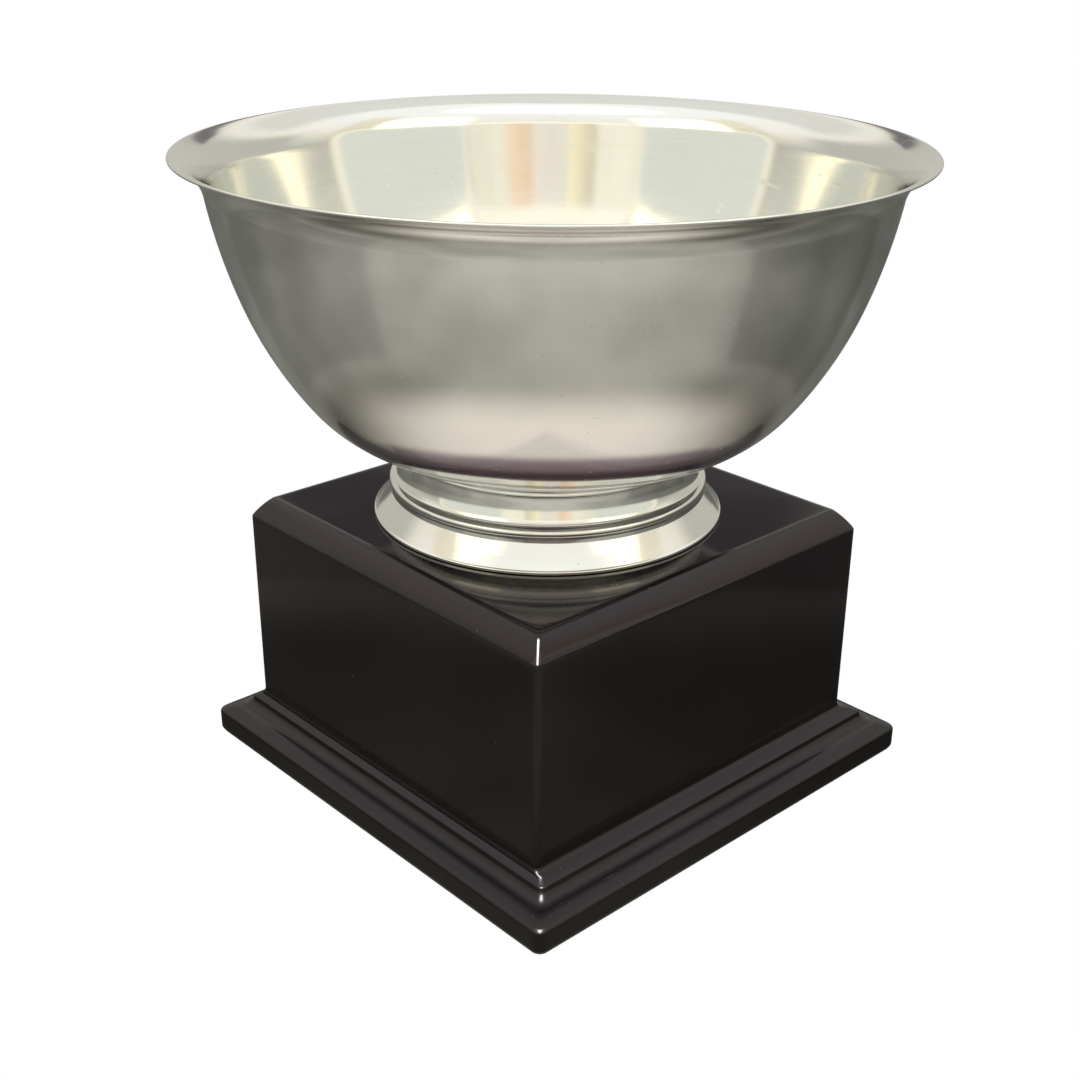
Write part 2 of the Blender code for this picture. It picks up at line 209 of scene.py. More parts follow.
def bowl_profile():
    """Closed (radius, height) line of the spun bowl, its lip rounded over."""
    a0, a1 = LIP_ANGLE
    s = math.radians(a0)
    n = 26
    lip = []
    for i in range(n + 1):
        a = math.radians(a1 + (a0 - a1) * i / n)
        lip.append((WALL_TOP_R + LIP_R * (math.cos(s) - math.cos(a)),
                    WALL_TOP_H + LIP_R * (math.sin(a) - math.sin(s))))
    k = (RIM_R - WALL_TOP_R) / (lip[0][0] - WALL_TOP_R)
    line = [(WALL_TOP_R + (r - WALL_TOP_R) * k, h) for r, h in lip]
    r, h = WALL_TOP_R, WALL_TOP_H
    for (b0, b1, rad), steps in zip(WALL_ARCS, (22, 22, 34)):
        s = math.radians(b0)
        for i in range(1, steps + 1):
            a = math.radians(b0 + (b1 - b0) * i / steps)
            line.append((r - rad * (math.cos(s) - math.cos(a)), h - rad * (math.sin(a) - math.sin(s))))
        r, h = line[-1]
    flat = h - 0.25 * MM
    er, eh = line[-1]
    # ease from the wall into the flat bottom
    for i in range(1, 9):
        t = i / 8
        line.append((er - 6.0 * MM * t, eh - 0.25 * MM * math.sin(t * math.pi / 2)))
    inner = offset(line, -BOWL_T)
    inner = [(r, min(h, 10.0)) for r, h in inner]
    # rounded edge joining the two skins at the lip
    a, b = Vector(line[0]), Vector(inner[0])
    mid, half = (a + b) / 2, (a - b).length / 2
    start = math.atan2(a.y - mid.y, a.x - mid.x)
    lip_edge = [(mid.x + half * math.cos(start + math.pi * i / 8) * 1.0,
                 mid.y + half * math.sin(start + math.pi * i / 8) * 1.0) for i in range(1, 8)]
    lip_edge = [(min(x, RIM_R + 0.45 * MM), y) for x, y in lip_edge]
    pts = line + [(0.0, flat), (0.0, flat + BOWL_T)] + inner[::-1] + lip_edge[::-1]
    return [(r, h + BLOCK_TOP) for r, h in pts], flat


def foot_profile(flat):
    t = flat - 0.25 * MM
    out = [(46.9 * MM, t), (48.3 * MM, t)]
    # small bead under the bowl
    out += arc(48.55 * MM, t - 1.55 * MM, 1.3 * MM, 78, -72, 12)
    # cove, sweeping out to the lower bead
    top = (47.75 * MM, t - 3.15 * MM)
    low = (50.9 * MM, 12.45 * MM)
    out.append((top[0] + 0.25 * MM, top[1] + 0.12 * MM))
    for i in range(0, 25):
        a = math.radians(90.0 * i / 24)
        out.append((low[0] - (low[0] - top[0]) * math.cos(a), top[1] - (top[1] - low[1]) * math.sin(a)))
    out += arc(50.95 * MM, 11.05 * MM, 1.25 * MM, 66, -40, 14)
    out += fillet([(51.95 * MM, 10.1 * MM), (51.72 * MM, 9.3 * MM, 0.5 * MM), (51.75 * MM, 8.0 * MM, 0.5 * MM),
                   (54.6 * MM, 4.35 * MM, 12 * MM), (56.95 * MM, 1.45 * MM, 0.5 * MM),
                   (57.45 * MM, 1.05 * MM, 0.35 * MM), (57.45 * MM, 0.3 * MM)], n=5)
    inner = []
    for r, h in offset(out, -0.9 * MM):
        if not inner or h < inner[-1][1] - 0.02 * MM:
            if 0.4 * MM < h < t - 1.0 * MM:
                inner.append((r, h))
    inner = [(46.9 * MM, t - 0.9 * MM)] + inner + [(56.5 * MM, 0.3 * MM)]
    return [(r, h + BLOCK_TOP) for r, h in out + inner[::-1]]


prof, FLAT = bowl_profile()
bowl = lathe("bowl", prof, seg=320, smooth=50)
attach(bowl, "root")
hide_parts("bowl_shell")

foot = lathe("foot", foot_profile(FLAT), seg=256, smooth=38)
# the foot is soldered on a little to one side of the bowl's axis
foot.data.transform(Matrix.Translation((-0.00081, -0.00088, 0.0)))
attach(foot, "root")
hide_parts("bowl_foot")


# ------------------------------------------------------------------ plinth

def make_case():
    """The block's boards as they look lacquered over: one skin, hollow, open below."""
    h = BLOCK_HALF
    low = PAD_H + MOULD_TOP
    roof = 82.0 * MM
    a, b = Vector((h, BLOCK_TOP - TOP_DOWN)), Vector((h - TOP_IN, BLOCK_TOP))
    crown = (a + b) / 2 + Vector((TOP_DOWN, TOP_IN)).normalized() * 0.75 * MM
    bevel = []
    for i in range(1, 12):
        t = i / 12
        q = a * (1 - t) ** 2 + crown * 2 * t * (1 - t) + b * t ** 2
        bevel.append((q.x, q.y))
    out = [(60.0 * MM, low + 0.3 * MM), (h, low + 0.3 * MM, 0.3 * MM), (h, a.y - 0.35 * MM), (h - 0.02 * MM, a.y - 0.15 * MM),
           (h - 0.06 * MM, a.y + 0.05 * MM)]
    out += bevel[:] + [(b.x - 0.5 * MM, b.y - 0.03 * MM), (b.x - 1.3 * MM, b.y), (h - 16 * MM, BLOCK_TOP)]
    line = supported(fillet(out, n=6))
    radius = 1.6 * MM
    bm, rings = square_lathe("case", line, lambda d, z: radius if d > 64 * MM else 0.05 * MM, closed=False)
    n = len(rings[0])
    prev = rings[-1]

    def join(a, b):
        for i in range(n):
            j = (i + 1) % n
            bm.faces.new((a[i], a[j], b[j], b[i]))

    # the top face runs in to the bolt hole, and the roof back out to the boards' inner faces
    shape = [v.co.copy() for v in rings[-1]]
    for t, z in ((0.72, BLOCK_TOP), (0.45, BLOCK_TOP), (0.2, BLOCK_TOP), (0.0, BLOCK_TOP),
                 (0.0, roof), (0.45, roof), (0.85, roof)):
        ring = []
        for c in shape:
            a = math.atan2(c.y, c.x)
            hole = Vector((3.5 * MM * math.cos(a), 3.5 * MM * math.sin(a)))
            ring.append(bm.verts.new((hole.x + (c.x - hole.x) * t, hole.y + (c.y - hole.y) * t, z)))
        join(prev, ring)
        prev = ring
    ceil = [bm.verts.new((v.co.x, v.co.y, roof)) for v in rings[0]]
    join(prev, ceil)
    join(ceil, rings[0])
    ob = link("plinth_case", bm, 22)
    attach(ob, "root")
    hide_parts("plinth_top_board", "side_board_front", "side_board_right", "side_board_back", "side_board_left")
    return ob


def make_moulding():
    """The base board with its moulded edge, access hole and screw recesses."""
    h, z, o = BLOCK_HALF, PAD_H, BLOCK_HALF + MOULD_OUT
    o += 0.3 * MM
    line = fillet([(o - 6 * MM, z), (o - 0.9 * MM, z + 0.15 * MM, 0.5 * MM), (o, z + 1.8 * MM, 2.2 * MM), (o, z + 8.9 * MM, 1.7 * MM),
                   (h + 10.6 * MM, z + 10.25 * MM, 1.2 * MM), (h + 9.3 * MM, z + 10.75 * MM)], n=7)
    cx, cz, ax, az = h + 9.3 * MM, z + 14.35 * MM, 4.6 * MM, 3.6 * MM
    line += [(cx - ax * math.sin(math.radians(t)), cz - az * math.cos(math.radians(t))) for t in range(6, 80, 6)]
    line += fillet([(h + 4.75 * MM, z + 13.9 * MM), (h + 4.55 * MM, z + 14.85 * MM, 0.55 * MM), (h + 2.2 * MM, z + 16.05 * MM, 3.0 * MM),
                    (h + 0.9 * MM, z + 16.75 * MM, 0.8 * MM), (h + 0.35 * MM, z + 17.25 * MM)], n=6)
    line = supported(line)
    bm = bmesh.new()
    dx, dy = BASE_SHIFT
    rings = []
    for d, zz in line:
        t = max(0.0, min(1.0, (d - h - 0.5 * MM) / (2.0 * MM)))
        rc = 1.2 * MM + 1.8 * MM * max(0.0, (d - h) / MOULD_OUT)
        rings.append([bm.verts.new((x + dx * t, y + dy * t, w)) for x, y, w in square_ring(d, rc, zz)])
    n = len(rings[0])

    def join(a, b):
        for i in range(n):
            j = (i + 1) % n
            bm.faces.new((a[i], a[j], b[j], b[i]))

    for a, b in zip(rings, rings[1:]):
        join(a, b)
    # small fillet where the lacquer has run against the block, then under the block
    prev = rings[-1]
    for d, zz in ((h + 0.12 * MM, z + 17.7 * MM), (h + 0.03 * MM, z + 18.2 * MM), (h - 0.5 * MM, z + 17.25 * MM), (h - 14 * MM, z + 17.2 * MM)):
        ring = [bm.verts.new(p) for p in square_ring(d, 1.2 * MM, zz)]
        join(prev, ring)
        prev = ring
    shape = [v.co.copy() for v in prev]
    hole = 20.0 * MM
    for t, zz in ((0.5, z + 17.2 * MM), (0.0, z + 17.2 * MM), (0.0, z), (0.5, z)):
        ring = []
        for c in shape:
            a = math.atan2(c.y, c.x)
            q = Vector((hole * math.cos(a), hole * math.sin(a)))
            ring.append(bm.verts.new((q.x + (c.x - q.x) * t, q.y + (c.y - q.y) * t, zz)))
        join(prev, ring)
        prev = ring
    join(prev, rings[0])
    ob = link("plinth_base", bm, 30)
    cut_screw_holes(ob)
    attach(ob, "root")
    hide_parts("base_board")
    return ob


SCREW_AT, SCREW_R, HEAD_R, HEAD_Z, SCREW_LEN = 52.0 * MM, 1.75 * MM, 3.5 * MM, 2.7 * MM, 32.0 * MM
PAD_R, PAD_AT, PAD_TOP = 10.0 * MM, 70.0 * MM, 1.7 * MM
CORNERS = ((-1, -1), (1, -1), (1, 1), (-1, 1))


def cut_screw_holes(ob):
    """Recess, countersink and shank hole for each screw, cut into the base board."""
    clear = 0.3 * MM
    line = [(0.0, 1.0 * MM), (4.2 * MM, 1.0 * MM), (4.2 * MM, HEAD_Z + clear), (HEAD_R + clear - 0.1 * MM, HEAD_Z + clear),
            (SCREW_R + clear, HEAD_Z + HEAD_R - SCREW_R + clear), (SCREW_R + clear, 21.0 * MM), (0.0, 21.0 * MM)]
    bm = bmesh.new()
    for sx, sy in CORNERS:
        rings = []
        for r, z in line:
            n = 1 if r < 1e-7 else 64
            rings.append([bm.verts.new((sx * SCREW_AT + r * math.cos(2 * math.pi * i / 64),
                                        sy * SCREW_AT + r * math.sin(2 * math.pi * i / 64), z)) for i in range(n)])
        for a, b in zip(rings, rings[1:]):
            for i in range(64):
                j = (i + 1) % 64
                face = []
                for v in (a[i % len(a)], a[j % len(a)], b[j % len(b)], b[i % len(b)]):
                    if v not in face:
                        face.append(v)
                bm.faces.new(face)
    tool = link("screw_holes", bm, 0)
    mod = ob.modifiers.new("holes", "BOOLEAN")
    mod.operation, mod.solver, mod.object = "DIFFERENCE", "EXACT", tool
    me = bpy.data.meshes.new_from_object(ob.evaluated_get(bpy.context.evaluated_depsgraph_get()))
    ob.modifiers.clear()
    ob.data = me
    me.shade_smooth()
    me.set_sharp_from_angle(angle=math.radians(30))
    bpy.data.objects.remove(tool)


def fade(x, low, high):
    t = max(0.0, min(1.0, (x - low) / (high - low)))
    return t * t * (3 - 2 * t)


def cross_depth(x, y):
    """Depth of the driver's cross recess at a place on the screw's head, all in millimetres."""
    arm, run = min(abs(x), abs(y)), max(abs(x), abs(y))
    cross = (1 - fade(arm, 0.40, 0.58)) * (1 - fade(run, 1.75, 2.0))
    middle = 1 - fade(math.hypot(x, y), 0.85, 1.1)
    return max(cross * (1.25 - 0.25 * run), middle * 1.25)


def make_screw(k, sx, sy):
    """Countersunk wood screw, point up, with a cross recess in its head and a cut thread."""
    seg, turn = 72, 0.35 * k
    rows = [(0.0, HEAD_Z)] + [((0.115 * i) * MM, HEAD_Z) for i in range(1, 29)]
    rows += [(3.34 * MM, HEAD_Z + 0.01 * MM), (3.44 * MM, HEAD_Z + 0.05 * MM), (3.49 * MM, HEAD_Z + 0.12 * MM), (3.46 * MM, HEAD_Z + 0.2 * MM)]
    rows += [(1.85 * MM, HEAD_Z + 1.72 * MM), (1.72 * MM, HEAD_Z + 2.1 * MM), (1.70 * MM, HEAD_Z + 9.5 * MM)]
    first = len(rows)
    top, step = HEAD_Z + SCREW_LEN - 0.1 * MM, 0.28 * MM
    zs = []
    z = HEAD_Z + 10.0 * MM
    while z < top - 0.4 * MM:
        zs.append(z)
        z += step
    rows += [(1.0, z) for z in zs] + [(0.0, top)]
    bm = bmesh.new()
    rings = []
    for n, (r, z) in enumerate(rows):
        ring = []
        for i in range(1 if r < 1e-7 else seg):
            a = 2 * math.pi * i / seg
            rr, zz = r, z
            if n >= first and r > 0:
                taper = fade(top - z, -0.3 * MM, 5.0 * MM)
                phase = ((z - zs[0]) / (1.8 * MM) - i / seg) % 1.0
                ridge = max(0.0, 1 - abs(phase - 0.5) / 0.27)
                rr = ((1.18 + 0.52 * ridge * fade(z - zs[0], 0.0, 1.5 * MM)) * taper + 0.05) * MM
            elif n < 29:
                c = math.cos(a + turn), math.sin(a + turn)
                zz = z + cross_depth(r / MM * c[0], r / MM * c[1]) * MM
            ring.append(bm.verts.new((sx * SCREW_AT + rr * math.cos(a), sy * SCREW_AT + rr * math.sin(a), zz)))
        rings.append(ring)
    for a, b in zip(rings, rings[1:]):
        for i in range(seg):
            j = (i + 1) % seg
            face = []
            for v in (a[i % len(a)], a[j % len(a)], b[j % len(b)], b[i % len(b)]):
                if v not in face:
                    face.append(v)
            bm.faces.new(face)
    ob = link("wood_screw_%d" % k, bm, 35)
    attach(ob, "root")
    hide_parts("base_screw_%d" % k)
    return ob


def make_pad(k, sx, sy):
    """Felt disc punched from sheet felt: uneven edge, rounded rims, slightly dished by the plinth's weight."""
    seg = 144
    mid = PAD_TOP / 2
    line = [(0.0, 0.03), (2.0, 0.03), (4.0, 0.02), (6.0, 0.01), (7.6, 0.0), (8.6, 0.01), (9.2, 0.04)]
    line += [(9.35 + 0.42 * math.sin(math.radians(t)), 0.42 - 0.38 * math.cos(math.radians(t))) for t in (20, 45, 70, 90)]
    line += [(9.80, 0.85), (9.76, 1.30)]
    line += [(9.35 + 0.38 * math.cos(math.radians(t)), 1.36 + 0.30 * math.sin(math.radians(t))) for t in (20, 50, 80)]
    line += [(9.1, 1.69), (7.5, 1.70), (4.0, 1.70), (0.0, 1.70)]
    bm = bmesh.new()
    rings = []
    for n, (r, z) in enumerate(line):
        ring = []
        for i in range(1 if r < 1e-7 else seg):
            a = 2 * math.pi * i / seg
            x, y = math.cos(a), math.sin(a)
            loose = fade(r, 8.0, 9.6)
            wave = noise.noise(Vector((x * 1.6, y * 1.6, 7.3 * k))) * 0.16
            fuzz = noise.noise(Vector((x * 14.0, y * 14.0, z * 2.5 + 3.1 * k))) * 0.10
            rr = min(r + (wave + fuzz) * loose, 9.98) * MM
            lump = 0.0
            if z < 0.1:
                lump = 0.035 * (0.5 + 0.5 * noise.noise(Vector((x * r * 0.9, y * r * 0.9, 1.7 * k))))
            ring.append(bm.verts.new((sx * PAD_AT + rr * x, sy * PAD_AT + rr * y, min(z + lump, 1.7) * MM)))
        rings.append(ring)
    for a, b in zip(rings, rings[1:]):
        for i in range(seg):
            j = (i + 1) % seg
            face = []
            for v in (a[i % len(a)], a[j % len(a)], b[j % len(b)], b[i % len(b)]):
                if v not in face:
                    face.append(v)
            bm.faces.new(face)
    ob = link("felt_disc_%d" % k, bm, 60)
    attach(ob, "root")
    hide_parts("felt_pad_%d" % k)
    return ob


case = make_case()
moulding = make_moulding()
screws = [make_screw(k + 1, sx, sy) for k, (sx, sy) in enumerate(CORNERS)]
pads = [make_pad(k + 1, sx, sy) for k, (sx, sy) in enumerate(CORNERS)]


# ------------------------------------------------------------------ material helpers

class Graph:
    """Short calls for building a node tree."""

    def __init__(self, tree):
        self.t = tree

    def node(self, kind, **props):
        n = self.t.nodes.new(kind)
        for k, v in props.items():
            setattr(n, k, v)
        return n

    def put(self, socket, value):
        if isinstance(value, bpy.types.NodeSocket):
            self.t.links.new(value, socket)
        elif value is not None:
            if hasattr(socket.default_value, "__len__"):
                v = list(value)
                n = len(socket.default_value)
                socket.default_value = (v + [1.0])[:n] if len(v) < n else v[:n]
            else:
                socket.default_value = value

    def math(self, op, a, b=None, c=None, clamp=False):
        n = self.node("ShaderNodeMath", operation=op, use_clamp=clamp)
        for s, v in zip(n.inputs, (a, b, c)):
            if v is not None:
                self.put(s, v)
        return n.outputs[0]

    def add(self, a, b):
        return self.math("ADD", a, b)

    def mul(self, a, b):
        return self.math("MULTIPLY", a, b)

    def ramp(self, x, low, high, smooth=True, out=(0.0, 1.0)):
        n = self.node("ShaderNodeMapRange", interpolation_type="SMOOTHSTEP" if smooth else "LINEAR")
        for s, v in zip(n.inputs, (x, low, high, out[0], out[1])):
            self.put(s, v)
        return n.outputs[0]

    def band(self, x, low, high, soft):
        """1 between low and high, with soft edges."""
        return self.mul(self.ramp(x, low - soft, low + soft), self.ramp(x, high + soft, high - soft))

    def mix(self, fac, a, b, blend="MIX"):
        n = self.node("ShaderNodeMix", data_type="RGBA", blend_type=blend)
        self.put(n.inputs[0], fac)
        self.put(n.inputs[6], a)
        self.put(n.inputs[7], b)
        return n.outputs[2]

    def colours(self, x, stops):
        n = self.node("ShaderNodeValToRGB")
        r = n.color_ramp
        for i, (p, c) in enumerate(stops):
            e = r.elements[i] if i < 2 else r.elements.new(p)
            e.position = p
            e.color = (*c, 1.0)
        self.put(n.inputs[0], x)
        return n.outputs[0]

    def vec(self, x, y, z):
        n = self.node("ShaderNodeCombineXYZ")
        for s, v in zip(n.inputs, (x, y, z)):
            self.put(s, v)
        return n.outputs[0]

    def split(self, v):
        n = self.node("ShaderNodeSeparateXYZ")
        self.put(n.inputs[0], v)
        return n.outputs

    def noise(self, vector, scale, detail=3.0, rough=0.5, w=None, distortion=0.0):
        n = self.node("ShaderNodeTexNoise", noise_dimensions="4D" if w is not None else "3D")
        self.put(n.inputs["Vector"], vector)
        if w is not None:
            self.put(n.inputs["W"], w)
        self.put(n.inputs["Scale"], scale)
        self.put(n.inputs["Detail"], detail)
        self.put(n.inputs["Roughness"], rough)
        self.put(n.inputs["Distortion"], distortion)
        return n.outputs[0]

    def voronoi(self, vector, scale, feature="F1"):
        n = self.node("ShaderNodeTexVoronoi", feature=feature)
        self.put(n.inputs["Vector"], vector)
        self.put(n.inputs["Scale"], scale)
        return n

    def bump(self, height, distance, strength=1.0, normal=None):
        n = self.node("ShaderNodeBump")
        self.put(n.inputs["Strength"], strength)
        self.put(n.inputs["Distance"], distance)
        self.put(n.inputs["Height"], height)
        if normal is not None:
            self.put(n.inputs["Normal"], normal)
        return n.outputs[0]

    def specks(self, vector, scale, size, share):
        """1 on small round dots, on this share of the cells."""
        v = self.voronoi(vector, scale)
        near = self.ramp(v.outputs["Distance"], size, size * 0.5)
        pick = self.math("LESS_THAN", self.split(v.outputs["Color"])[0], share)
        return self.mul(near, pick)


def material(name):
    m = bpy.data.materials.new(name)
    m.use_nodes = True
    g = Graph(m.node_tree)
    return m, g, m.node_tree.nodes["Principled BSDF"]


def object_space(g):
    p = g.node("ShaderNodeTexCoord").outputs["Object"]
    return p, *g.split(p)


def spun_metal(name, colour, rough, line=0.030, haze=0.05, soil=0.25, seed=0.0):
    """Polished sheet metal turned on a lathe: fine lines round the axis, haze, smudges, specks, hairline scratches."""
    m, g, b = material(name)
    p, x, y, z = object_space(g)
    r = g.math("SQRT", g.add(g.mul(x, x), g.mul(y, y)))
    rs = g.math("MAXIMUM", r, 0.002)
    cosa, sina = g.math("DIVIDE", x, rs), g.math("DIVIDE", y, rs)
    k = 0.006
    around = g.vec(r, z, g.mul(cosa, k))
    w = g.add(g.mul(sina, k), seed)

    def lines(scale, detail):
        # 4D noise scales w too, so rings have no seam where the angle wraps round
        return g.noise(around, scale, detail, 0.55, w=w)

    fine, broad = lines(2600.0, 2.0), lines(520.0, 3.0)
    long_lines = g.noise(g.vec(r, z, g.mul(cosa, 0.0012)), 900.0, 2.0, 0.6, w=g.add(g.mul(sina, 0.0012), seed))
    both = g.add(g.mul(fine, 0.45), g.add(g.mul(broad, 0.25), g.mul(long_lines, 0.30)))
    streak = g.math("SUBTRACT", both, 0.5)
    cloud = g.ramp(g.noise(p, 22.0, 4.0, 0.55), 0.42, 0.70)
    wiped = g.ramp(g.noise(g.vec(g.mul(x, 1.0), g.mul(y, 1.0), g.mul(z, 3.2)), 30.0, 5.0, 0.6, distortion=0.6), 0.52, 0.74)
    dust = g.specks(p, 330.0, 0.16, 0.10)
    pits = g.specks(g.vec(g.add(x, 0.31), y, z), 520.0, 0.15, 0.05)
    # hairline scratches: thin level lines of a stretched noise, broken up by another
    sc = g.noise(g.vec(g.mul(x, 0.7), g.mul(y, 1.3), g.mul(z, 1.6)), 46.0, 1.0, 0.4, distortion=0.8)
    hair = g.ramp(g.math("ABSOLUTE", g.math("SUBTRACT", sc, 0.5)), 0.0035, 0.0008)
    hair = g.mul(hair, g.ramp(g.noise(p, 60.0, 1.0), 0.56, 0.62))
    # colour
    c = g.mix(g.mul(cloud, soil), colour, tuple(v * f for v, f in zip(colour, (0.93, 0.93, 0.91))))
    shade = g.add(1.0, g.mul(streak, line * 4.0))
    c = g.mix(1.0, c, g.vec(shade, shade, shade), "MULTIPLY")
    c = g.mix(g.mul(dust, 0.35), c, (0.95, 0.95, 0.93))
    c = g.mix(g.mul(pits, 0.45), c, (0.30, 0.29, 0.27))
    g.put(b.inputs["Base Color"], c)
    b.inputs["Metallic"].default_value = 1.0
    ro = g.add(rough, g.mul(streak, line * 3.0))
    ro = g.add(ro, g.mul(wiped, haze))
    ro = g.add(ro, g.mul(g.math("MAXIMUM", dust, hair), 0.18))
    g.put(b.inputs["Roughness"], g.math("MAXIMUM", ro, 0.03))
    h = g.add(g.mul(both, 1.0), g.mul(hair, -0.8))
    wave = g.noise(p, 28.0, 1.0, 0.4)
    n = g.bump(h, 0.0000012, 1.0)
    n = g.bump(wave, 0.00003, 1.0, n)
    g.put(b.inputs["Normal"], n)
    return m


def lacquer(name, gloss=0.12, tint=(0.91, 0.865, 0.95, 1.0)):
    """Black lacquer sprayed over wood: faint orange peel, sunk grain, dust, lint and rubbed edges."""
    m, g, b = material(name)
    p, x, y, z = object_space(g)
    peel = g.noise(p, 420.0, 2.0, 0.5)
    slow = g.noise(p, 38.0, 2.0, 0.5)
    grain = g.noise(g.vec(g.mul(x, 60.0), g.mul(y, 60.0), g.mul(z, 900.0)), 1.0, 3.0, 0.6)
    dust = g.specks(p, 700.0, 0.20, 0.06)
    motes = g.specks(g.vec(x, g.add(y, 0.2), z), 240.0, 0.10, 0.05)
    haze = g.ramp(g.noise(p, 17.0, 4.0, 0.6, distortion=0.4), 0.45, 0.72)
    geo = g.node("ShaderNodeNewGeometry")
    edge = g.ramp(geo.outputs["Pointiness"], 0.55, 0.66)
    worn = g.mul(edge, g.ramp(g.noise(p, 260.0, 4.0, 0.7), 0.52, 0.66))
    c = g.mix(slow, (0.0026, 0.0019, 0.0023), (0.0038, 0.0029, 0.0034))
    c = g.mix(g.mul(haze, 0.5), c, (0.0060, 0.0050, 0.0056))
    c = g.mix(g.mul(worn, 0.45), c, (0.040, 0.036, 0.034))
    c = g.mix(g.mul(dust, 0.25), c, (0.060, 0.057, 0.055))
    c = g.mix(g.mul(motes, 0.45), c, (0.12, 0.115, 0.11))
    g.put(b.inputs["Base Color"], c)
    b.inputs["Specular Tint"].default_value = tint
    ro = g.add(gloss, g.mul(haze, 0.05))
    ro = g.add(ro, g.mul(g.math("MAXIMUM", dust, worn), 0.25))
    ro = g.add(ro, g.mul(peel, 0.02))
    g.put(b.inputs["Roughness"], ro)
    n = g.bump(grain, 0.00000025, 1.0)
    n = g.bump(peel, 0.0000005, 1.0, n)
    n = g.bump(slow, 0.000003, 1.0, n)
    g.put(b.inputs["Normal"], n)
    return m


def raw_wood(name, along="z", seed=0.0, base=((0.62, 0.43, 0.25), (0.42, 0.26, 0.13))):
    """Sawn pine: growth rings cut along the grain, pores, saw marks and a few darker streaks."""
    m, g, b = material(name)
    p, x, y, z = object_space(g)
    a, c1, c2 = {"x": (x, y, z), "y": (y, x, z), "z": (z, x, y)}[along]
    wobble = g.noise(g.vec(g.mul(a, 8.0), g.mul(c1, 30.0), g.add(g.mul(c2, 30.0), seed)), 1.0, 3.0, 0.5)
    ring = g.add(g.mul(g.add(c1, g.mul(c2, 0.35)), 900.0), g.mul(wobble, 9.0))
    s = g.math("FRACT", g.mul(ring, 0.33))
    late = g.ramp(s, 0.45, 0.95)
    late = g.mul(late, g.ramp(s, 1.0, 0.95, out=(0.25, 1.0)))
    pores = g.ramp(g.noise(g.vec(g.mul(a, 90.0), g.mul(c1, 2600.0), g.mul(c2, 2600.0)), 1.0, 2.0, 0.6), 0.60, 0.72)
    tone = g.noise(g.vec(g.mul(a, 20.0), g.mul(c1, 120.0), g.mul(c2, 120.0)), 1.0, 3.0, 0.6)
    col = g.mix(late, base[0], base[1])
    col = g.mix(g.mul(g.ramp(tone, 0.35, 0.75), 0.35), col, tuple(v * 0.72 for v in base[0]))
    col = g.mix(g.mul(pores, 0.5), col, tuple(v * 0.55 for v in base[1]))
    g.put(b.inputs["Base Color"], col)
    saw = g.noise(g.vec(g.mul(a, 1300.0), g.mul(c1, 40.0), g.mul(c2, 40.0)), 1.0, 2.0, 0.5)
    g.put(b.inputs["Roughness"], g.add(0.62, g.mul(pores, 0.2)))
    n = g.bump(g.add(g.mul(pores, -0.6), g.mul(late, 0.4)), 0.00008, 1.0)
    n = g.bump(saw, 0.00006, 0.8, n)
    g.put(b.inputs["Normal"], n)
    return m


def zinc(name, tint=(0.60, 0.60, 0.62), rough=0.33, yellow=0.0):
    """Zinc plated steel: crystalline mottle, turning marks, grease and a trace of white bloom."""
    m, g, b = material(name)
    p, x, y, z = object_space(g)
    v = g.voronoi(p, 900.0)
    cell = g.split(v.outputs["Color"])[1]
    mottle = g.noise(p, 350.0, 4.0, 0.6)
    bloom = g.ramp(g.noise(p, 190.0, 5.0, 0.7, distortion=0.5), 0.58, 0.74)
    turn = g.noise(g.vec(g.mul(x, 60.0), g.mul(y, 60.0), g.mul(z, 5200.0)), 1.0, 2.0, 0.5)
    c = g.mix(g.mul(cell, 0.30), tint, tuple(t * 0.78 for t in tint))
    c = g.mix(g.ramp(mottle, 0.35, 0.7, out=(0.0, 0.35)), c, (0.44, 0.43, 0.43))
    c = g.mix(g.mul(bloom, 0.45), c, (0.80, 0.81, 0.80))
    g.put(b.inputs["Base Color"], c)
    g.put(b.inputs["Metallic"], g.ramp(bloom, 0.0, 1.0, out=(1.0, 0.45)))
    g.put(b.inputs["Roughness"], g.add(rough, g.add(g.mul(bloom, 0.3), g.mul(g.math("SUBTRACT", mottle, 0.5), 0.25))))
    n = g.bump(turn, 0.000012, 1.0)
    n = g.bump(mottle, 0.00001, 1.0, n)
    g.put(b.inputs["Normal"], n)
    return m


def felt(name):
    """Pressed wool felt: tangled fibres, lighter fuzz, small pills."""
    m, g, b = material(name)
    p, x, y, z = object_space(g)
    f1 = g.noise(g.vec(g.mul(x, 1.0), g.mul(y, 0.25), z), 5200.0, 3.0, 0.7, distortion=2.5)
    f2 = g.noise(g.vec(g.mul(x, 0.25), g.mul(y, 1.0), z), 4600.0, 3.0, 0.7, distortion=2.5)
    fibre = g.math("MAXIMUM", f1, f2)
    matted = g.noise(p, 620.0, 4.0, 0.6)
    strands = g.ramp(fibre, 0.58, 0.74)
    c = g.mix(g.ramp(matted, 0.3, 0.7), (0.030, 0.031, 0.033), (0.062, 0.063, 0.066))
    c = g.mix(g.mul(strands, 0.6), c, (0.150, 0.150, 0.154))
    c = g.mix(g.mul(g.specks(p, 900.0, 0.2, 0.05), 0.7), c, (0.35, 0.34, 0.32))
    g.put(b.inputs["Base Color"], c)
    b.inputs["Roughness"].default_value = 0.95
    b.inputs["Sheen Weight"].default_value = 0.35
    b.inputs["Sheen Roughness"].default_value = 0.45
    n = g.bump(g.add(fibre, g.mul(matted, 1.4)), 0.00022, 1.0)
    g.put(b.inputs["Normal"], n)
    return m


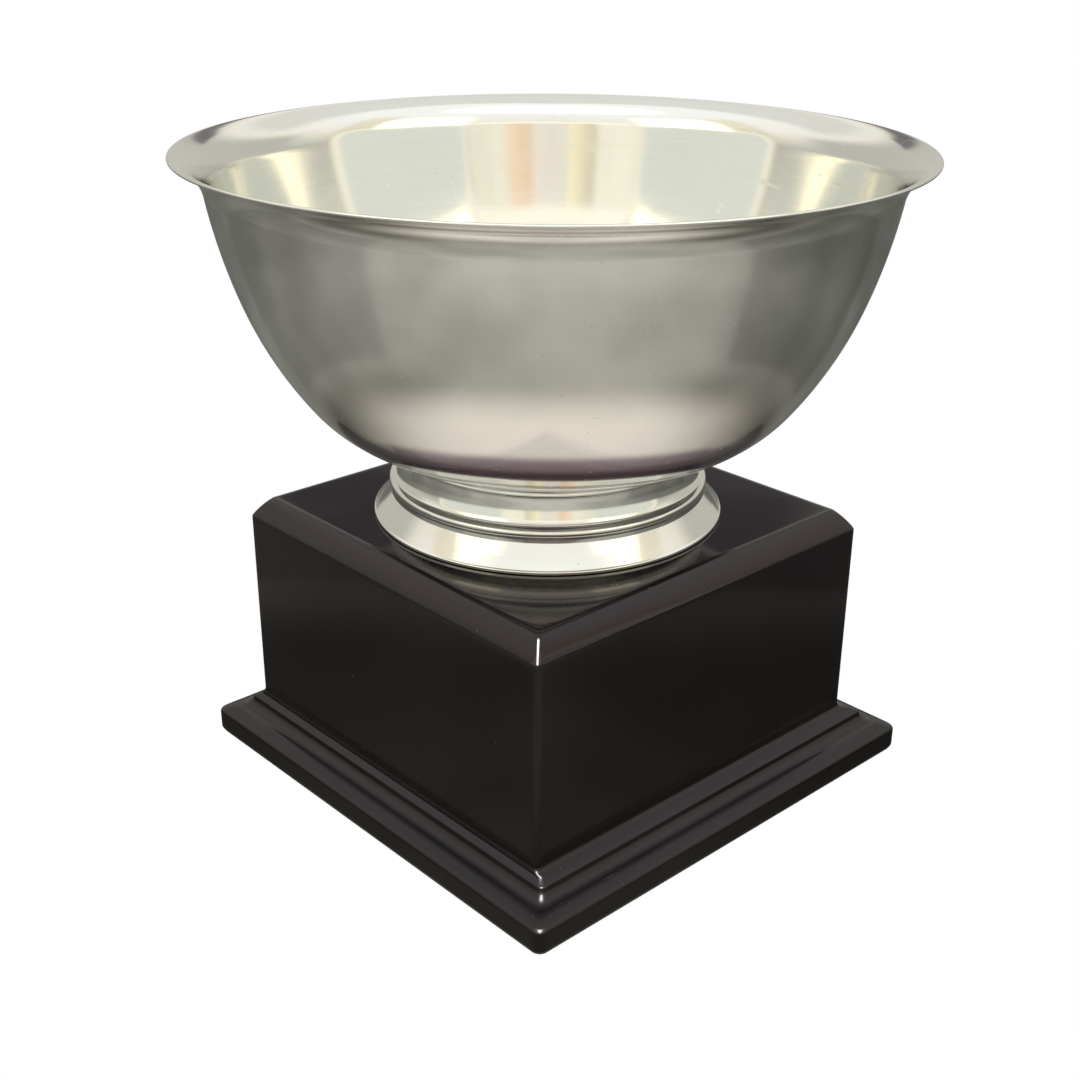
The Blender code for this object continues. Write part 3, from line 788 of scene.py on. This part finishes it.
OUTSIDE = spun_metal("bowl_outside", (0.760, 0.755, 0.735), 0.125, line=0.020, haze=0.07)
INSIDE = spun_metal("bowl_inside", (0.800, 0.795, 0.770), 0.105, line=0.034, haze=0.05, seed=3.1)
FOOT = spun_metal("foot_metal", (0.790, 0.785, 0.760), 0.120, line=0.026, haze=0.04, seed=7.7)
LACQUER = lacquer("black_lacquer_coat", 0.075, (0.98, 0.84, 0.93, 1.0))
LACQUER_BASE = lacquer("black_lacquer_base", 0.22, (0.80, 0.76, 0.80, 1.0))
PINE = raw_wood("pine_blocks", "z")
PINE_X = raw_wood("pine_backing", "x", 4.0, ((0.60, 0.44, 0.28), (0.44, 0.29, 0.16)))
ZINC = zinc("zinc_plate")
STEEL = zinc("foot_plate_steel", (0.64, 0.63, 0.60), 0.28)
FELT = felt("wool_felt")

bowl.data.materials.append(OUTSIDE)
bowl.data.materials.append(INSIDE)
foot.data.materials.append(FOOT)
case.data.materials.append(LACQUER)
moulding.data.materials.clear()
moulding.data.materials.append(LACQUER_BASE)
for ob in screws:
    ob.data.materials.append(ZINC)
for ob in pads:
    ob.data.materials.append(FELT)


def split_bowl():
    """The inside of the bowl, down from the crest of its lip, has the brighter polish."""
    idx = [0] * len(bowl.data.polygons)
    for i, f in enumerate(bowl.data.polygons):
        c, n = f.center, f.normal
        rr = math.hypot(c.x, c.y) or 1.0
        outward = (n.x * c.x + n.y * c.y) / rr
        # the inner skin looks up and in, the outer skin down and out
        inner = n.z > 0.05 or (outward < 0.0)
        idx[i] = 1 if inner else 0
    bowl.data.polygons.foreach_set("material_index", idx)


split_bowl()

for node, mat in (("foot_plate", STEEL), ("mounting_bolt", ZINC), ("fender_washer", ZINC), ("spring_washer", ZINC),
                  ("hex_nut", ZINC), ("backing_block", PINE_X), ("corner_block_1", PINE), ("corner_block_2", PINE),
                  ("corner_block_3", PINE), ("corner_block_4", PINE), ("base_screw_1", ZINC), ("base_screw_2", ZINC),
                  ("base_screw_3", ZINC), ("base_screw_4", ZINC), ("felt_pad_1", FELT), ("felt_pad_2", FELT),
                  ("felt_pad_3", FELT), ("felt_pad_4", FELT)):
    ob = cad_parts[node]
    if not ob.material_slots:
        ob.data.materials.append(mat)
    for slot in ob.material_slots:
        slot.material = mat


# ------------------------------------------------------------------ stage and light

YAW = math.radians(47.369)
FRONT = (math.sin(YAW), -math.cos(YAW), 0.0)     # from the object towards the viewer, on the floor
SIDE = (math.cos(YAW), math.sin(YAW), 0.0)


def bearing(g, v):
    """Angle round the object from its front, in degrees, from a direction or a place."""
    f = g.node("ShaderNodeVectorMath", operation="DOT_PRODUCT")
    g.put(f.inputs[0], v)
    f.inputs[1].default_value = FRONT
    s = g.node("ShaderNodeVectorMath", operation="DOT_PRODUCT")
    g.put(s.inputs[0], v)
    s.inputs[1].default_value = SIDE
    return g.mul(g.math("ARCTAN2", s.outputs["Value"], f.outputs["Value"]), 180.0 / math.pi)


def panel(g, az, el, a0, a1, e0, e1, soft=0.12, power=5.0):
    """1 inside a round-cornered panel of the studio's walls."""
    u = g.math("ABSOLUTE", g.mul(g.math("SUBTRACT", az, (a0 + a1) / 2), 2.0 / (a1 - a0)))
    v = g.math("ABSOLUTE", g.mul(g.math("SUBTRACT", el, (e0 + e1) / 2), 2.0 / (e1 - e0)))
    q = g.add(g.math("POWER", u, power), g.math("POWER", v, power))
    return g.ramp(q, 1.0 + soft * power, 1.0 - soft * power if soft * power < 1 else 0.0)


def make_world():
    world = bpy.data.worlds.new("studio")
    bpy.context.scene.world = world
    world.use_nodes = True
    g = Graph(world.node_tree)
    d = g.node("ShaderNodeTexCoord").outputs["Generated"]
    az = bearing(g, d)
    el = g.mul(g.math("ARCSINE", g.split(d)[2]), 180.0 / math.pi)
    side = g.math("ABSOLUTE", az)
    # walls: grey-green low down, cream then white towards the ceiling
    up = g.ramp(el, 0.0, 60.0, smooth=False)
    sky = g.colours(up, [(0.0, (0.50, 0.50, 0.44)), (0.20, (0.72, 0.72, 0.62)), (0.42, (0.98, 0.93, 0.80)),
                         (0.60, (1.10, 1.08, 1.00)), (1.0, (1.15, 1.17, 1.13))])
    low_back = g.mul(g.ramp(side, 100.0, 116.0), g.ramp(el, 32.0, 22.0))
    sky = g.mix(g.mul(g.band(side, 70.0, 89.0, 3.0), g.ramp(el, 56.0, 46.0)), sky, (0.88, 0.84, 0.73), "MULTIPLY")
    sky = g.mix(g.mul(g.ramp(side, 112.0, 130.0), g.ramp(el, 30.0, 40.0)), sky, (0.76, 0.76, 0.76), "MULTIPLY")
    sky = g.mix(low_back, sky, (0.60, 0.59, 0.53))
    # the two wide soft panels, each with a cream border
    for a0, a1 in ((34.0, 84.0), (-84.0, -34.0)):
        sky = g.mix(panel(g, az, el, a0 - 3.0, a1 + 4.0, -16.0, 28.5, 0.06), sky, (1.15, 1.10, 0.92))
        inner = (a0, a0 + 38.0) if a0 > 0 else (a1 - 38.0, a1)
        sky = g.mix(panel(g, az, el, inner[0], inner[1], 23.0, 47.0, 0.08), sky, (2.25, 2.08, 1.50))
        sky = g.mix(panel(g, az, el, a0, a1, -16.0, 25.5, 0.05, 6.0), sky, (0.86, 0.885, 0.79))
    # narrow strips between them
    strips = g.colours(g.ramp(az, -34.0, 34.0, smooth=False), [
        (0.0, (0.55, 0.54, 0.48)), (0.03, (1.12, 1.08, 0.88)), (0.24, (1.15, 1.12, 0.95)), (0.27, (0.80, 0.74, 0.56)),
        (0.40, (1.22, 1.12, 0.76)), (0.44, (0.98, 0.94, 0.84)), (0.60, (1.08, 1.00, 0.88)), (0.63, (1.02, 0.78, 0.56)),
        (0.74, (1.15, 0.90, 0.66)), (0.77, (1.12, 1.08, 0.90)), (0.95, (1.05, 1.00, 0.82)), (0.98, (0.80, 0.79, 0.70))])
    fine = g.noise(g.vec(g.mul(az, 0.55), g.mul(el, 0.03), 0.0), 1.0, 3.0, 0.6)
    strips = g.mix(1.0, strips, g.colours(fine, [(0.3, (0.90, 0.90, 0.90)), (0.7, (1.08, 1.07, 1.05))]), "MULTIPLY")
    sky = g.mix(panel(g, az, el, -33.0, 33.0, -20.0, 31.0, 0.05, 8.0), sky, (1.30, 1.25, 1.05))
    sky = g.mix(panel(g, az, el, -33.0, 33.0, -20.0, 25.8, 0.02, 12.0), sky, strips)
    # the unlit back of the studio
    dark = g.mul(g.ramp(side, 166.5, 170.5), g.band(el, 19.5, 27.0, 1.2))
    sky = g.mix(dark, sky, (0.18, 0.17, 0.175))
    # the overhead soft box, in front of and above the object
    box = panel(g, az, el, -62.0, 62.0, 57.0, 82.0, 0.16, 3.0)
    sky = g.mix(box, sky, (1.9, 1.86, 1.75))
    lp = g.node("ShaderNodeLightPath")
    out = g.mix(lp.outputs["Is Camera Ray"], sky, (1.0, 1.0, 1.0))
    bg = world.node_tree.nodes["Background"]
    g.put(bg.inputs[0], out)
    bg.inputs[1].default_value = 1.0


def make_floor():
    bm = bmesh.new()
    bmesh.ops.create_grid(bm, x_segments=2, y_segments=2, size=4.0)
    ob = link("floor", bm, 0)
    # the floor's glow is painted light: plain white to the camera, and in reflections a pattern of painted light and
    # shade round the plinth
    m, g, b = material("floor_painted_light")
    p, x, y, z = object_space(g)
    az = bearing(g, p)
    r = g.math("SQRT", g.add(g.mul(x, x), g.mul(y, y)))
    turn = g.mul(g.add(1.0, g.math("COSINE", g.mul(az, math.pi / 180.0))), 0.5)
    turn = g.math("POWER", turn, 2.1)
    back = g.ramp(g.math("ABSOLUTE", az), 145.0, 180.0)
    level = g.add(0.115, g.mul(turn, 0.36))
    level = g.add(level, g.mul(back, 0.22))
    # painted light and shade, seen only in reflections: lighter a pace away in front, darker close to the plinth's
    # sides as painted shade
    wide = g.math("ABSOLUTE", az)
    far = g.mul(g.ramp(r, 0.24, 0.44), turn)
    level = g.add(level, g.mul(far, 0.14))
    level = g.mul(level, g.add(1.0, g.mul(g.mul(g.ramp(r, 0.225, 0.17), g.ramp(wide, 30.0, 64.0)), -0.42)))
    level = g.mul(level, g.add(1.0, g.mul(g.mul(g.ramp(r, 0.18, 0.11), g.ramp(wide, 64.0, 40.0)), -0.55)))
    level = g.mul(level, g.add(1.0, g.mul(g.mul(g.ramp(r, 0.40, 0.50), g.ramp(wide, 12.0, 36.0)), -0.20)))
    level = g.mul(level, g.add(1.0, g.mul(g.mul(g.ramp(wide, 36.0, 66.0), g.ramp(r, 0.17, 0.24)), 0.36)))
    # painted shade: two darker bands to the left and right, with soft edges
    level = g.mul(level, g.add(1.0, g.mul(g.mul(g.band(az, -124.0, -57.0, 1.8), g.band(r, 0.235, 0.66, 0.006)), -0.23)))
    level = g.mul(level, g.add(1.0, g.mul(g.mul(g.band(az, 60.0, 122.0, 1.8), g.band(r, 0.235, 0.66, 0.006)), -0.29)))
    # painted light in one side sector, painted shade in the other
    level = g.mul(level, g.add(1.0, g.mul(g.band(az, -146.0, -96.0, 9.0), 0.30)))
    level = g.mul(level, g.add(1.0, g.mul(g.band(az, 54.0, 96.0, 9.0), -0.25)))
    patch = g.noise(p, 7.0, 3.0, 0.5)
    level = g.mul(level, g.ramp(patch, 0.3, 0.7, out=(0.88, 1.12)))
    # painted warm light on the floor's glow close to the plinth
    tone = g.mix(g.ramp(r, 0.30, 0.12), (1.0, 1.0, 0.90), (1.0, 0.94, 0.80))
    glow = g.mix(1.0, tone, g.vec(level, level, level), "MULTIPLY")
    lp = g.node("ShaderNodeLightPath")
    geo = g.node("ShaderNodeNewGeometry")
    seen = g.mix(lp.outputs["Is Camera Ray"], glow, (1.0, 1.0, 1.0))
    em = g.node("ShaderNodeEmission")
    g.put(em.inputs[0], seen)
    clear = g.node("ShaderNodeBsdfTransparent")
    mixer = g.node("ShaderNodeMixShader")
    g.put(mixer.inputs[0], geo.outputs["Backfacing"])
    m.node_tree.links.new(em.outputs[0], mixer.inputs[1])
    m.node_tree.links.new(clear.outputs[0], mixer.inputs[2])
    out = m.node_tree.nodes["Material Output"]
    m.node_tree.links.new(mixer.outputs[0], out.inputs[0])
    m.node_tree.nodes.remove(b)
    ob.data.materials.append(m)


def make_light(name, where, x_axis, y_axis, size, radiance, colour, receivers):
    """A small soft box that lights only the named pieces. It shines along minus its own Z."""
    li = bpy.data.lights.new(name, "AREA")
    li.shape = "RECTANGLE"
    li.size, li.size_y = size
    li.energy = radiance * math.pi * size[0] * size[1]
    li.color = colour
    ob = bpy.data.objects.new(name, li)
    bpy.context.scene.collection.objects.link(ob)
    x, y = Vector(x_axis).normalized(), Vector(y_axis).normalized()
    m = Matrix((x, y, x.cross(y))).transposed().to_4x4()
    m.translation = where
    ob.matrix_world = m
    ob.visible_camera = False
    ob.visible_diffuse = False
    group = bpy.data.collections.new(name + "_receivers")
    for r in receivers:
        group.objects.link(r)
    ob.light_linking.receiver_collection = group
    return ob


make_world()
make_floor()
# a low bounce card under the front of the bowl
front, aside = Vector(FRONT), Vector(SIDE)
card = make_light("bounce_card", front * 0.0700 + Vector((0, 0, 0.0968)), aside, front, (0.270, 0.132), 1.0, (1.0, 1.0, 1.0), [bowl])
card.data.use_nodes = True
g = Graph(card.data.node_tree)
em = card.data.node_tree.nodes["Emission"]
place = g.node("ShaderNodeNewGeometry").outputs["Position"]
angle = g.math("ABSOLUTE", bearing(g, place))
px, py, pz = g.split(place)
reach = g.math("SQRT", g.add(g.mul(px, px), g.mul(py, py)))
warm = g.ramp(reach, 0.0785, 0.0835)
spread = g.mul(g.ramp(reach, 0.136, 0.098), g.ramp(angle, 84.0, 22.0))
mauve = g.mix(g.ramp(reach, 0.067, 0.078), (0.045, 0.030, 0.035), (0.21, 0.155, 0.17))
g.put(em.inputs["Color"], g.mix(warm, mauve, (0.74, 0.69, 0.61)))
g.put(em.inputs["Strength"], spread)
# a lamp over the viewer's head, for the glints on the lacquer's corners
tilt = math.radians(56.0)
up_dir = front * math.cos(tilt) + Vector((0, 0, math.sin(tilt)))
lamp = make_light("corner_lamp", up_dir * 1.5, aside, up_dir.cross(aside), (0.60, 1.30), 38.0, (1.0, 0.97, 0.93), [case, moulding])
bpy.context.scene.view_settings.view_transform = "Standard"

lamp.data.use_nodes = True
g = Graph(lamp.data.node_tree)
depth = g.node("ShaderNodeLightPath").outputs["Ray Depth"]
g.put(lamp.data.node_tree.nodes["Emission"].inputs["Strength"], g.math("LESS_THAN", depth, 2.5))
